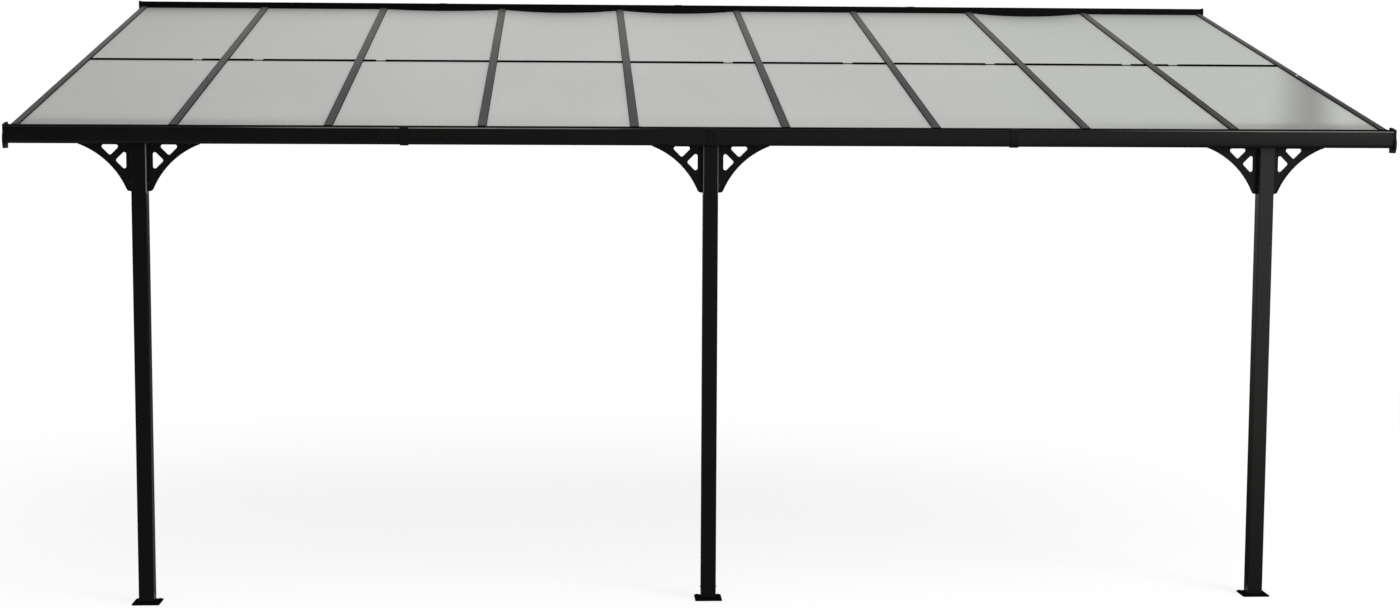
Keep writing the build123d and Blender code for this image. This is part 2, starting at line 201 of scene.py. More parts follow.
def hexagon(angle):
    """A hexagon's radius, if its inner one is 1: 1 over the cosine of the angle to a flat."""
    return 1 / np.cos((angle + math.pi / 6) % (math.pi / 3) - math.pi / 6)


def turned(profile, hexed, sides=12):
    """A fastener: each profile point's radius times (cos, sin) of the angle, and its height.

    The profile points in the slice hexed have their radius multiplied by the hexagon's. The last
    point is the middle, where the surface closes, and a face below closes the first ring.
    """
    angle = np.arange(sides) * 2 * math.pi / sides
    radius, height = np.array(profile, float).T
    rings = radius[:, None] * np.ones(sides)
    rings[hexed] = radius[hexed, None] * hexagon(angle)
    heights = height[:, None] * np.ones(sides)
    points = np.stack([rings * np.cos(angle), rings * np.sin(angle), heights], -1).reshape(-1, 3)
    ring = np.arange(sides)
    top = ring + (len(profile) - 1) * sides
    return points, [grid_faces(len(profile), sides), ring[None, ::-1], top[None]]


# Shader maths


class Signal:
    """One output socket of a finish. Arithmetic on it adds Math nodes to the same tree."""

    def __init__(self, finish, socket):
        self.finish, self.socket = finish, socket

    def math(self, operation, *others):
        inputs = dict(enumerate((self, *others)))
        return self.finish.node("ShaderNodeMath", {"operation": operation}, inputs)

    def __add__(self, other):
        return self.math("ADD", other)

    def __sub__(self, other):
        return self.math("SUBTRACT", other)

    def __rsub__(self, other):
        return self.finish.node("ShaderNodeMath", {"operation": "SUBTRACT"}, {0: other, 1: self})

    def __mul__(self, other):
        return self.math("MULTIPLY", other)

    def __truediv__(self, other):
        return self.math("DIVIDE", other)

    def __pow__(self, other):
        return self.math("POWER", other)

    def __abs__(self):
        return self.math("ABSOLUTE")

    __radd__ = __add__
    __rmul__ = __mul__

    def between(self, low, high):
        """0 below low, 1 above high, and a smooth step between."""
        ends = {"Value": self, "From Min": low, "From Max": high}
        return self.finish.node("ShaderNodeMapRange", {"interpolation_type": "SMOOTHSTEP"}, ends)


class Finish:
    """The nodes of one of the cover's finishes, or of the stage and the light around it."""

    def __init__(self, owner):
        self.owner = owner
        owner.use_nodes = True
        self.tree = owner.node_tree
        self.tree.nodes.clear()

    def node(self, kind, settings=None, inputs=None, output=0):
        """Adds a node of a kind: its settings first, then the values or links of its sockets."""
        made = self.tree.nodes.new(kind)
        for key, value in (settings or {}).items():
            setattr(made, key, value)
        for key, value in (inputs or {}).items():
            if isinstance(value, Signal):
                self.tree.links.new(value.socket, made.inputs[key])
            else:
                made.inputs[key].default_value = value
        return Signal(self, made.outputs[output]) if len(made.outputs) else None

    def place(self):
        """The point on the piece, in metres."""
        return self.node("ShaderNodeTexCoord", output="Object")

    def axes(self, vector):
        """The three coordinates of a vector."""
        split = self.node("ShaderNodeSeparateXYZ", inputs={0: vector}).socket.node
        return [Signal(self, socket) for socket in split.outputs]

    def stretch(self, vector, x, y, z):
        """The vector multiplied by a factor along each axis."""
        inputs = {0: vector, 1: (x, y, z)}
        return self.node("ShaderNodeVectorMath", {"operation": "MULTIPLY"}, inputs)

    def noise(self, vector, scale, detail, rough=0.5):
        """Soft noise between 0 and 1; scale is how many of its waves fit into a metre."""
        inputs = {"Vector": vector, "Scale": scale, "Detail": detail, "Roughness": rough}
        return self.node("ShaderNodeTexNoise", inputs=inputs)

    def mix(self, factor, first, second):
        """One colour into another."""
        inputs = {"Factor": factor, 6: first, 7: second}
        return self.node("ShaderNodeMix", {"data_type": "RGBA"}, inputs, output=2)

    def bump(self, height, distance, strength):
        """A normal tilted by a height from 0 to 1, which stands for distance in metres."""
        inputs = {"Height": height, "Distance": distance, "Strength": strength}
        return self.node("ShaderNodeBump", inputs=inputs)

    def shade(self, **inputs):
        """The main shader; the words of the names are joined by underscores."""
        inputs = {name.replace("_", " "): value for name, value in inputs.items()}
        return self.node("ShaderNodeBsdfPrincipled", inputs=inputs)

    def rays(self, *kinds):
        """1 for rays of any of the kinds, and 0 for all others."""
        seen, *others = (self.node("ShaderNodeLightPath", output=f"Is {k} Ray") for k in kinds)
        for other in others:
            seen = seen.math("MAXIMUM", other)
        return seen

    def glow(self, strength):
        """Plain light, which shows as white at a strength of 1."""
        return self.node("ShaderNodeEmission", inputs={"Strength": strength})

    def blend(self, factor, first, second):
        """One shader into another."""
        return self.node("ShaderNodeMixShader", inputs={0: factor, 1: first, 2: second})

    def close(self, surface, output="ShaderNodeOutputMaterial"):
        """Links the surface to an output, and gives the finished material or world."""
        self.node(output, inputs={"Surface": surface})
        return self.owner


def rgb(red, green, blue):
    """A colour from 0 to 255 per channel, as a display shows it, turned into linear light."""
    share = np.array((red, green, blue)) / 255
    linear = np.where(share <= 0.04045, share / 12.92, ((share + 0.055) / 1.055) ** 2.4)
    return (*[float(c) for c in linear], 1.0)


COAT_DUST = rgb(92, 93, 88)
COAT_STREAK = rgb(60, 61, 58)
# Painted sheen on the covers: paler up the slope and at the roof's left end
COVER_PAINTED_SHEEN = rgb(84, 85, 81)
COVER_PAINTED_SHEEN_LEFT = rgb(62, 62, 60)
# Painted shade low on the posts, painted light high on the right, and a painted corner highlight
POST_PAINTED_SHADE = rgb(2, 2, 2)
POST_PAINTED_LIGHT = rgb(39, 39, 37)
POST_PAINTED_HIGHLIGHT = rgb(118, 118, 114)
LIP_BLACK = rgb(9, 9, 9)
SHEET_MILK = rgb(177, 178, 175), rgb(183, 184, 181)
SHEET_PALE = rgb(192, 193, 190)
SHEET_GREEN = rgb(169, 175, 167)
SHEET_PAINTED_SHADE = rgb(146, 147, 142)
SHEET_EDGE_SHADOW = rgb(130, 131, 127)
SHEET_SHADOW_AND_REFLECTION = rgb(104, 105, 101)
SHEET_RIB = rgb(205, 206, 203)
FLOW_MARK = rgb(22, 22, 21)
STEEL_PATCH = rgb(60, 59, 56)


def powder_coat(
    name, dark, light, grain=1400.0, rough=0.45, gloss=0.08, dusty=0.2, streaks=None, painted_light=None
):
    """Black powder coat: a fine grained skin, faint clouding, and dust on upward faces.

    streaks stretches noise into lines along the piece. painted_light takes the finish, the shade and
    the three coordinates, and gives the shade back with painted light and shade along the piece.
    """
    coat = Finish(bpy.data.materials.new(name))
    place = coat.place()
    cloud = coat.noise(place, scale=3.0, detail=3.0)
    skin = coat.noise(place, scale=grain, detail=2.0, rough=0.6)
    up = coat.axes(coat.node("ShaderNodeNewGeometry", output="Normal"))[2]
    patches = coat.noise(place, scale=14.0, detail=4.0, rough=0.6)
    dust = up.between(0.5, 1.0) * (0.35 + 0.65 * patches)
    shade = coat.mix(cloud.between(0.3, 0.7), dark, light)
    shade = coat.mix(dust * dusty, shade, COAT_DUST)
    # Painted light and shade along the piece, where one is given
    if painted_light:
        shade = painted_light(coat, shade, *coat.axes(place))
    height = skin
    if streaks:
        lines = coat.noise(coat.stretch(place, *streaks), scale=1.0, detail=2.0)
        shade = coat.mix(lines.between(0.35, 0.75) * 0.25, shade, COAT_STREAK)
        height = skin + lines * 0.5
    return coat.close(
        coat.shade(
            Base_Color=shade,
            Roughness=rough + 0.12 * (cloud - 0.5) + 0.1 * (skin - 0.5),
            Specular_IOR_Level=gloss,
            Normal=coat.bump(height, distance=0.00004, strength=0.6),
        )
    )


def painted_sheen_up_slope(coat, shade, x, y, z):
    """Painted sheen: paler towards the wall, where grazing light catches the covers, and at the
    roof's left end.
    """
    shade = coat.mix((1 - x.between(-3.1, -2.0)) * 0.5, shade, COVER_PAINTED_SHEEN_LEFT)
    return coat.mix(y.between(0.5, 2.7) * 0.8, shade, COVER_PAINTED_SHEEN)


def painted_light_on_posts(coat, shade, x, y, z):
    """Painted shade low down, painted light high on the right, and painted highlights beside two
    brackets.
    """
    middle_corners, left_corner, half_line = 0.0318, -2.4582, (0.0012, 0.0018)
    shade = coat.mix((1 - z.between(0.2, 1.5)) * 0.8, shade, POST_PAINTED_SHADE)
    shade = coat.mix(z.between(-0.6, 1.9) * x.between(0.8, 2.4), shade, POST_PAINTED_LIGHT)
    from_middle, from_left = abs(abs(x) - middle_corners), abs(x - left_corner)
    # Painted highlight on the posts' corners beside two brackets
    corner_highlight = 2 - from_middle.between(*half_line) - from_left.between(*half_line)
    return coat.mix(corner_highlight * z.between(1.81, 1.83), shade, POST_PAINTED_HIGHLIGHT)


def painted_highlight_on_lip(coat, shade, x, y, z):
    """Painted highlight along the lip: black at the left end, pale from there to the middle and at
    the right end.
    """
    lit = x.between(-2.2, -1.7) * (1 - x.between(-0.7, -0.2)) + x.between(1.6, 2.6)
    return coat.mix(1 - lit, shade, LIP_BLACK)


def twin_wall(name):
    """Frosted twin-wall sheet: milky skins, a faint line at each rib, darker towards the gutter, and
    painted shade near the wall.

    The sheets at the left end have painted shade, those at both ends a painted shadow along the
    front edge, and the last one a painted dark reflection near the gutter.
    """
    sheet = Finish(bpy.data.materials.new(name))
    place = sheet.place()
    x, y, _ = sheet.axes(place)
    rib = abs((x / SHEET).math("FRACT") - 0.5).between(0.36, 0.48)
    drift = sheet.noise(sheet.stretch(place, 1.6, 0.5, 1.0), scale=1.0, detail=3.0)
    film = sheet.noise(sheet.stretch(place, 60.0, 6.0, 6.0), scale=1.0, detail=3.0)
    # Darker towards the gutter
    low = 1 - y.between(FRONT_Y + 0.07, FRONT_Y + 0.42)
    # Painted shade near the wall profile
    high = y.between(WALL_FRONT - 0.5, WALL_FRONT)
    # Painted shade on the sheets at the left end, where less light falls
    dull = 1 - x.between(-3.4, -1.0)
    ends = abs(x).between(1.2, 2.9)
    # Painted shadow along the front edge of the sheets at both ends of the roof
    edge = (1 - y.between(FRONT_Y + 0.08, FRONT_Y + 0.30)) * ends
    front_shadow = (1 - y.between(0.07, 0.17)) * ends
    # Painted dark reflection on the last sheet near the gutter, and a leaning band of it up the
    # slope
    reflection_x, reflection_band_x, reflection_band_lean = 2.69, 2.68, 0.33
    dark_reflection = (1 - y.between(0.06, 0.20)) * (1 - abs(x - reflection_x).between(0.04, 0.20))
    across = x - reflection_band_x - reflection_band_lean * y
    reflection_band = across.between(-0.22, 0.01) * (1 - across.between(0.01, 0.17))
    reflection_band = reflection_band * (1 - y.between(1.3, 1.8))
    shade = sheet.mix(drift.between(0.3, 0.7), *SHEET_MILK)
    shade = sheet.mix(y.between(0.9, 2.0) * 0.4, shade, SHEET_PALE)
    shade = sheet.mix(x.between(0.4, 2.6) * 0.6, shade, SHEET_GREEN)
    shade = sheet.mix(low * 0.3 + high * 0.25 + dull * 0.6, shade, SHEET_PAINTED_SHADE)
    shade = sheet.mix(edge * 0.5, shade, SHEET_EDGE_SHADOW)
    # Painted shadow near the front edge and painted dark reflection, in one colour
    shade = sheet.mix(front_shadow * 0.5 + dark_reflection * 0.4, shade, SHEET_SHADOW_AND_REFLECTION)
    shade = sheet.mix(reflection_band * 0.85, shade, SHEET_SHADOW_AND_REFLECTION)
    shade = sheet.mix(rib * 0.15, shade, SHEET_RIB)
    return sheet.close(
        sheet.shade(
            Base_Color=shade,
            Roughness=0.42 + 0.1 * (film - 0.5),
            Specular_IOR_Level=0.3,
            IOR=1.58,
            Normal=sheet.bump(film + rib * 0.3, distance=0.0001, strength=0.5),
        )
    )


def moulded(name, shade, rough, grain, gloss=0.1):
    """Moulded plastic or rubber: one dark colour with faint flow marks and a fine matt skin."""
    skin = Finish(bpy.data.materials.new(name))
    place = skin.place()
    flow = skin.noise(skin.stretch(place, 9.0, 30.0, 30.0), scale=1.0, detail=3.0)
    pores = skin.noise(place, scale=grain, detail=2.0)
    return skin.close(
        skin.shade(
            Base_Color=skin.mix(flow.between(0.3, 0.7) * 0.4, shade, FLOW_MARK),
            Roughness=rough + 0.1 * (flow - 0.5),
            Specular_IOR_Level=gloss,
            Normal=skin.bump(pores, distance=0.00005, strength=0.5),
        )
    )


def coated_steel(name, shade, metal, rough):
    """Fastener steel: blackened or plain, with fine turning marks and small dull patches."""
    steel = Finish(bpy.data.materials.new(name))
    place = steel.place()
    patches = steel.noise(place, scale=220.0, detail=3.0)
    marks = steel.noise(steel.stretch(place, 1.0, 1.0, 8.0), scale=900.0, detail=1.0)
    return steel.close(
        steel.shade(
            Base_Color=steel.mix(patches.between(0.4, 0.7) * 0.4, shade, STEEL_PATCH),
            Metallic=metal,
            Roughness=rough + 0.15 * (patches - 0.5),
            Normal=steel.bump(marks, distance=0.00002, strength=0.5),
        )
    )


frame_coat = powder_coat("frame_powder_coat", rgb(9, 9, 8), rgb(12, 12, 11), rough=0.38)
wall_coat = powder_coat(
    "wall_powder_coat", rgb(7, 7, 7), rgb(9, 9, 8), rough=0.5, gloss=0.03, dusty=0.05
)
foot_coat = powder_coat(
    "foot_powder_coat", rgb(9, 9, 9), rgb(13, 13, 12), rough=0.8, gloss=0.0, dusty=0.02
)
post_coat = powder_coat(
    "post_powder_coat", rgb(8, 8, 7), rgb(11, 11, 10), rough=0.28, gloss=0.07, painted_light=painted_light_on_posts
)
cover_coat = powder_coat(
    "cover_powder_coat",
    rgb(8, 8, 7),
    rgb(13, 13, 12),
    gloss=0.06,
    dusty=0.05,
    streaks=(260.0, 2.0, 2.0),
    painted_light=painted_sheen_up_slope,
)
# The lip's pale colour is a painted highlight, where light catches the gutter's rounded top edge
lip_highlight_coat = powder_coat(
    "lip_painted_highlight",
    rgb(96, 96, 92),
    rgb(112, 112, 108),
    gloss=0.1,
    dusty=0.3,
    painted_light=painted_highlight_on_lip,
)
cast_coat = powder_coat("cast_powder_coat", rgb(8, 8, 7), rgb(12, 12, 11), grain=700.0, rough=0.5)
panel_sheet = twin_wall("twin_wall_sheet")
cap_plastic = moulded("cap_plastic", rgb(8, 8, 8), rough=0.5, grain=900.0, gloss=0.06)
wall_plastic = moulded("wall_plastic", rgb(7, 7, 7), rough=0.6, grain=900.0, gloss=0.02)
strip_plastic = moulded("strip_plastic", rgb(10, 10, 10), rough=0.9, grain=900.0, gloss=0.0)
seal_rubber = moulded("seal_rubber", rgb(9, 9, 9), rough=0.75, grain=1500.0, gloss=0.05)
screw_steel = coated_steel("screw_steel", rgb(20, 20, 19), metal=0.5, rough=0.45)
zinc_steel = coated_steel("zinc_steel", rgb(225, 225, 222), metal=0.4, rough=0.35)

# The finish of the frame's pieces, by how their names start; the rest have the frame's own coat
NODE_FINISHES = {
    "post": post_coat,
    "foot": foot_coat,
    "rafter_covers": cover_coat,
    "brackets": cast_coat,
    "gutter_cap": cap_plastic,
    "wall_profile": wall_coat,
    "wall_cap": wall_plastic,
    "gutter_joint_covers": cap_plastic,
    "panel_joint_strips": strip_plastic,
    "gutter_joint_liners": seal_rubber,
    "roof_panels": panel_sheet,
}

for name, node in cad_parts.items():
    finish = next((f for start, f in NODE_FINISHES.items() if name.startswith(start)), frame_coat)
    node.data.materials.clear()
    node.data.materials.append(finish)


# Hollow roof sheets

RIB = 0.00035
SKIN = 0.0005
BOTTOM, FLOOR, CEILING, TOP = range(4)


def hollow_sheet(x, sides, stations, sag_share, sag):
    """One twin-wall sheet as a function of place across, through and down the slope.

    A point is on_roof(x + across, y, level - sag share * sag * arch), and the arch between the
    ledges is 1 - (across / inner half) squared. Across it has a line each side of every rib,
    through it the two faces of each skin, and the cells between ribs and skins are left empty.
    """
    left, right = sides
    cells = round((right - left) / SHEET)
    ribs = np.linspace(left, right, cells + 1)
    lines = np.stack([ribs - RIB / 2, ribs + RIB / 2], -1).ravel()
    lines[0], lines[1] = left, left + RIB
    lines[-2], lines[-1] = right - RIB, right
    levels = -COVER_HEIGHT - SHEET + np.array([0, SKIN, SHEET - SKIN, SHEET])
    across = lines[None, None, :]
    arch = np.clip(1 - (across / LEDGE_INNER_HALF) ** 2, 0, None)
    level = levels[None, :, None] - np.array(sag_share)[:, None, None] * sag * arch
    points = on_roof(x + across, np.array(stations)[:, None, None], level)
    count, rows, columns = len(stations), len(levels), len(lines)

    def number(station, row, line):
        return (station * rows + row) * columns + line

    def wall(low, high, first, second, flip):
        """Quads up the slope from line first of row low to line second of row high."""
        station = np.arange(count - 1)[:, None]
        first, second = np.asarray(first)[None], np.asarray(second)[None]
        quad = [
            number(station, low, first),
            number(station, high, second),
            number(station + 1, high, second),
            number(station + 1, low, first),
        ]
        quad = np.stack(np.broadcast_arrays(*quad), -1).reshape(-1, 4)
        return quad[:, ::-1] if flip else quad

    every = np.arange(columns)
    cell_left, cell_right = np.arange(1, columns - 1, 2), np.arange(2, columns, 2)
    last = [columns - 1]
    faces = [
        wall(TOP, TOP, every[:-1], every[1:], False),
        wall(BOTTOM, BOTTOM, every[:-1], every[1:], True),
        wall(CEILING, CEILING, cell_left, cell_right, True),
        wall(FLOOR, FLOOR, cell_left, cell_right, False),
    ]
    for row in (BOTTOM, FLOOR, CEILING):
        faces.append(wall(row, row + 1, [0], [0], False))
        faces.append(wall(row, row + 1, last, last, True))
    faces.append(wall(FLOOR, CEILING, cell_right, cell_right, False))
    faces.append(wall(FLOOR, CEILING, cell_left, cell_left, True))
    for station, flip in ((0, False), (count - 1, True)):
        for row in (BOTTOM, FLOOR, CEILING):
            starts = every[:-1:2] if row == FLOOR else every[:-1]
            low, high = number(station, row, starts), number(station, row + 1, starts)
            quad = np.stack([low, low + 1, high + 1, high], -1)
            faces.append(quad[:, ::-1] if flip else quad)
    return points.reshape(-1, 3), faces


half_web = COS * STRIP_WEB / 2
for number, (bay_x, sag) in enumerate(zip(BAY_X, SAGS), 1):
    left = -OUTER_SHEET_HALF if number == 1 else -SHEET_HALF
    right = OUTER_SHEET_HALF if number == BAYS else SHEET_HALF
    rear = WALL_Y - WALL_PLATE - SHEET_REAR_GAP + SIN * (-COVER_HEIGHT - SHEET - sag)
    lower_run = (FRONT_Y + SHEET_FRONT, JOINT_Y - half_web)
    upper_run = (JOINT_Y + half_web, JOINT_Y + COS * STRIP_HALF, rear)
    lower = hollow_sheet(bay_x, (left, right), lower_run, (0, 0), sag)
    upper = hollow_sheet(bay_x, (left, right), upper_run, (0, 0, 1), sag)
    shape = joined([lower, upper])
    sheets = make_piece(f"twin_wall_sheets_{number}", *shape, "panel", panel_sheet)
    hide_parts(f"roof_panels_{number}")


# Seals, trims and end plugs on the roof

STRIP_REACH = COS * STRIP_HALF + 0.0008
GASKET_REAR_GAP = 0.004
BEAD = [(0, 0), (0.0024, 0), (0.0021, 0.0011), (0.0012, 0.0019), (0, 0.0022)]
LIP = [(-0.0060, 0), (0.0001, 0), (0.0001, 0.0044), (-0.0010, 0.0048), (-0.0058, 0.0016)]
LIP_GAP = 0.0026
GUTTER_BEAD = [
    (-0.0034, -0.0042), (0.0002, -0.0042), (0.0002, 0.0008), (0, 0.0008), (-0.0034, -0.0030)
]
PLUG_HEIGHT = 0.016
PLUG_CORNER = 0.0015
PLUG_STEPS = np.array([0, 0.0022, 0.0028, 0.0029])
PLUG_SCALES = (1, 1, 0.96, 0.8)
TRIM_WALL = 0.0009
TRIM_CORNER = 0.0005
TRIM_REACH = 0.014
TRIM_FOOT_REACH = 0.011
TRIM_GAP = 0.003
TRIM_TOP = [
    (-TRIM_WALL, -SHEET),
    (0, -SHEET),
    (0, 0),
    (TRIM_REACH, 0),
    (TRIM_REACH, TRIM_WALL),
    (-TRIM_CORNER, TRIM_WALL),
    (-TRIM_WALL, TRIM_CORNER),
]
TRIM_FOOT = [
    (-TRIM_WALL, -SHEET - TRIM_WALL),
    (TRIM_FOOT_REACH, -SHEET - TRIM_WALL),
    (TRIM_FOOT_REACH, -SHEET),
    (-TRIM_WALL, -SHEET),
]
WIPER_GAP = 0.0005
WIPER_STATIONS = 33
WIPER_Y = WALL_FRONT + np.array([-0.0022, 0.0018, 0.0018, 0.0002, 0.0002])
WIPER_FOOT_RISE = 0.0004
WIPER_FLARE = 0.0022


def cover_edges(number):
    """The sides of a rafter's cover that meet a sheet: x, and the side on which the sheet lies."""
    x = RAFTER_X[number]
    if number == 0:
        return [(x - OUTER_EDGE + OUTER_COVER, 1)]
    if number == BAYS:
        return [(x + OUTER_EDGE - OUTER_COVER, -1)]
    return [(x - COVER_HALF, -1), (x + COVER_HALF, 1)]


def bay_ends(number, gap):
    """Where a bay's sheet meets the covers left and right of it, less a gap."""
    return cover_edges(number)[-1][0] + gap, cover_edges(number + 1)[0][0] - gap


def cover_gaskets():
    """The rounded rubber bead along each cover's side, carried down the slope in two runs."""
    runs = [
        (JOINT_Y - STRIP_REACH, FRONT_Y + SHEET_FRONT),
        (WALL_FRONT - GASKET_REAR_GAP, JOINT_Y + STRIP_REACH),
    ]
    shapes = []
    for number in range(BAYS + 1):
        for x, side in cover_edges(number):
            profile = BEAD if side > 0 else mirrored(BEAD)
            paths = [on_roof(x, run, -COVER_HEIGHT) for run in runs]
            shapes += [carried(profile, path, ACROSS, ROOF_NORMAL) for path in paths]
    return joined(shapes)


def cover_plugs():
    """The plug in each cover's lower end: its outline carried forward and drawn in at the edge."""
    low, high = COVER_HEIGHT / 2 - PLUG_HEIGHT, COVER_HEIGHT / 2
    shapes = []
    for number, x in enumerate(RAFTER_X):
        outer_side = {0: -1, BAYS: 1}.get(number, 0)
        half = OUTER_COVER / 2 if outer_side else COVER_HALF
        middle = x + outer_side * (OUTER_EDGE - half)
        outline = [(-half, low), (half, low), (half, high - PLUG_CORNER)]
        outline += [(half - PLUG_CORNER, high), (PLUG_CORNER - half, high)]
        outline += [(-half, high - PLUG_CORNER)]
        path = on_roof(middle, FRONT_Y + COVER_FRONT - PLUG_STEPS, -COVER_HEIGHT / 2)
        shapes.append(carried(outline, path, ACROSS, ROOF_NORMAL, scale=PLUG_SCALES))
    return joined(shapes)


def sheet_trims():
    """The U-shaped trim carried along each lower sheet's front edge; its foot is between ledges."""
    shapes = []
    for number, bay_x in enumerate(BAY_X):
        between_ledges = bay_x - LEDGE_INNER_HALF, bay_x + LEDGE_INNER_HALF
        for profile, run in (TRIM_TOP, bay_ends(number, TRIM_GAP)), (TRIM_FOOT, between_ledges):
            path = on_roof(np.array(run), FRONT_Y + SHEET_FRONT, -COVER_HEIGHT)
            shapes.append(carried(profile, path, UP_SLOPE, ROOF_NORMAL))
    return joined(shapes)


def joint_lips():
    """The rubber lips carried along both sides of each joint strip, left out at its notch."""
    shapes = []
    for number, (bay_x, notch) in enumerate(zip(BAY_X, NOTCHES)):
        left, right = bay_ends(number, LIP_GAP)
        runs = [(left, right)]
        if notch is not None:
            middle = bay_x + (notch - 0.5) * PITCH
            runs = [(left, middle - NOTCH_HALF), (middle + NOTCH_HALF, right)]
        for profile, side in ((LIP, -1), (mirrored(LIP), 1)):
            for run in runs:
                path = on_roof(np.array(run), JOINT_Y + side * COS * STRIP_HALF, -COVER_HEIGHT)
                shapes.append(carried(profile, path, UP_SLOPE, ROOF_NORMAL))
    return joined(shapes)


def lip_beads():
    """The sloping bead carried along the gutter's lip, between the end caps and joint covers."""
    starts = [-GUTTER_HALF] + [x + JOINT_COVER_HALF for x in JOINTS]
    ends = [x - JOINT_COVER_HALF for x in JOINTS] + [GUTTER_HALF]
    edge = FRONT_Y + GUTTER_LEAN
    runs = [[(low, edge, EAVES), (high, edge, EAVES)] for low, high in zip(starts, ends)]
    return joined([carried(GUTTER_BEAD, run, (0, 1, 0), (0, 0, 1)) for run in runs])


def wiper_seals():
    """The rubber blade under the wall profile's skirt, bay by bay, down to the sheet and its sag.

    Its foot is at the sheet's top, cover height + sag * (1 - (across / inner half) squared) below
    the cover tops, and flares forward; its head meets the skirt. Stations along the bay are rows,
    blade points columns.
    """
    head = on_roof(0.0, WALL_FRONT, -SKIRT_LEVEL)[2]
    blade = np.arange(len(WIPER_Y))
    shapes = []
    for number, (bay_x, sag) in enumerate(zip(BAY_X, SAGS)):
        x = np.linspace(*bay_ends(number, WIPER_GAP), WIPER_STATIONS)
        arch = np.clip(1 - ((x - bay_x) / LEDGE_INNER_HALF) ** 2, 0, None)
        foot = on_roof(x, WALL_FRONT, 0.0)[:, 2] - (COVER_HEIGHT + sag * arch) / COS
        heads = np.full(len(x), head)
        z = np.stack([foot, foot + WIPER_FOOT_RISE, heads, heads, foot + WIPER_FLARE], -1)
        points = np.stack(np.broadcast_arrays(x[:, None], WIPER_Y[None], z), -1).reshape(-1, 3)
        last = blade + (WIPER_STATIONS - 1) * len(blade)
        faces = [grid_faces(WIPER_STATIONS, len(blade)), blade[None, ::-1], last[None]]
        shapes.append((points, faces))
    return joined(shapes)


make_piece("cover_gaskets", *cover_gaskets(), "rubber", seal_rubber)
make_piece("cover_plugs", *cover_plugs(), "frame_coat", cover_coat)
make_piece("sheet_trims", *sheet_trims(), "frame_coat", wall_coat)
make_piece("joint_lips", *joint_lips(), "rubber", strip_plastic)
# The beads carry the gutter lip's painted highlight
make_piece("lip_beads", *lip_beads(), "frame_coat", lip_highlight_coat)
make_piece("wiper_seals", *wiper_seals(), "rubber", seal_rubber)


# Fasteners: radius and height along each profile, and the part of the profile that is a hexagon

PAN_HEAD = [
    (0.0046, 0), (0.0046, 0.0012), (0.0042, 0.0023), (0.0032, 0.0031), (0.0019, 0.0034),
    (0.0019, 0.0018),
]
HEX_BOLT = [
    (0.0085, 0), (0.0085, 0.0014), (0.0065, 0.0014), (0.0065, 0.0062), (0.0058, 0.0068),
    (0.0020, 0.0068),
]
LOW_BOLT = [
    (0.0085, 0), (0.0085, 0.0010), (0.0065, 0.0010), (0.0065, 0.0032), (0.0058, 0.0036),
    (0.0020, 0.0036),
]
RIVET = [(0.0042, 0), (0.0040, 0.0007), (0.0030, 0.0013), (0.0012, 0.0015), (0.0012, 0.0008)]
DOME_HEAD = [
    (0.0070, 0), (0.0070, 0.0012), (0.0062, 0.0026), (0.0044, 0.0036), (0.0020, 0.0040),
    (0.0020, 0.0028),
]
HEX_SOCKET = slice(4, 6)
HEX_SIDES = slice(2, 5)
ALL_ROUND = slice(0)

# Where the fasteners sit on the pieces that they hold
BRACKET_SCREW_Y = 0.014
BRACKET_SCREW_REACHES = (0.026, 0.182)
BRACKET_SCREW_DROPS = (0.045, 0.175)
POST_SCREW_Z = 0.055
GUTTER_CAP_SCREWS = (
    (FRONT_Y + 0.022, EAVES - 0.006),
    (GUTTER_REAR - 0.012, EAVES - 0.016),
    (-0.018, GUTTER_BOTTOM + 0.014),
)
WALL_CAP_SCREW_Y = WALL_Y - 0.009
WALL_CAP_SCREW_RISES = (0.006, 0.078)
RIVET_OFFSET = 0.020
RIVET_RISES = (0.012, 0.032)
SHELF_SCREW_Y = WALL_Y - 0.034
SHELF_SCREW_OFFSET = 0.007
EDGE_SCREW_OFFSET = 0.001
EDGE_SCREW_Y = 1.215


def fasteners(name, profile, hexed, places, steel=screw_steel):
    """The same fastener at each place."""
    make_piece(name, *repeat(*turned(profile, hexed), places), "frame_coat", steel)


bracket_places, anchor_places, post_places = [], [], []
for post_x in (-POST_X, 0.0, POST_X):
    for side in (-1, 1):
        face = post_x + side * POST_HALF
        for y in (-BRACKET_SCREW_Y, BRACKET_SCREW_Y):
            for reach in BRACKET_SCREW_REACHES:
                under = (face + side * reach, y, GUTTER_BOTTOM - BRACKET_FLANGE)
                bracket_places.append(facing(under, (0, 0, -1)))
            for drop in BRACKET_SCREW_DROPS:
                beside = (face + side * BRACKET_FLANGE, y, GUTTER_BOTTOM - drop)
                bracket_places.append(facing(beside, (side, 0, 0)))
        post_places.append(facing((face, 0, POST_SCREW_Z), (side, 0, 0)))
        for y in (-ANCHOR_HALF, ANCHOR_HALF):
            on_plate = (post_x + side * ANCHOR_HALF, y, FOOT_PLATE)
            anchor_places.append(facing(on_plate, (0, 0, 1)))

wall_places = []
for x in RAFTER_X:
    hole_x = x - WALL_HOLE_OFFSET if x > 0 else x + WALL_HOLE_OFFSET
    wall_places.append(facing((hole_x, WALL_Y - WALL_PLATE, WALL_HOLE_Z), (0, -1, 0)))

cap_places = []
for side in (-1, 1):
    for y, z in GUTTER_CAP_SCREWS:
        cap_places.append(facing((side * (GUTTER_HALF + CAP), y, z), (side, 0, 0)))
    for rise in WALL_CAP_SCREW_RISES:
        on_cap = (side * (HALF_WIDTH + CAP), WALL_CAP_SCREW_Y, WALL_HOLE_Z + rise)
        cap_places.append(facing(on_cap, (side, 0, 0)))

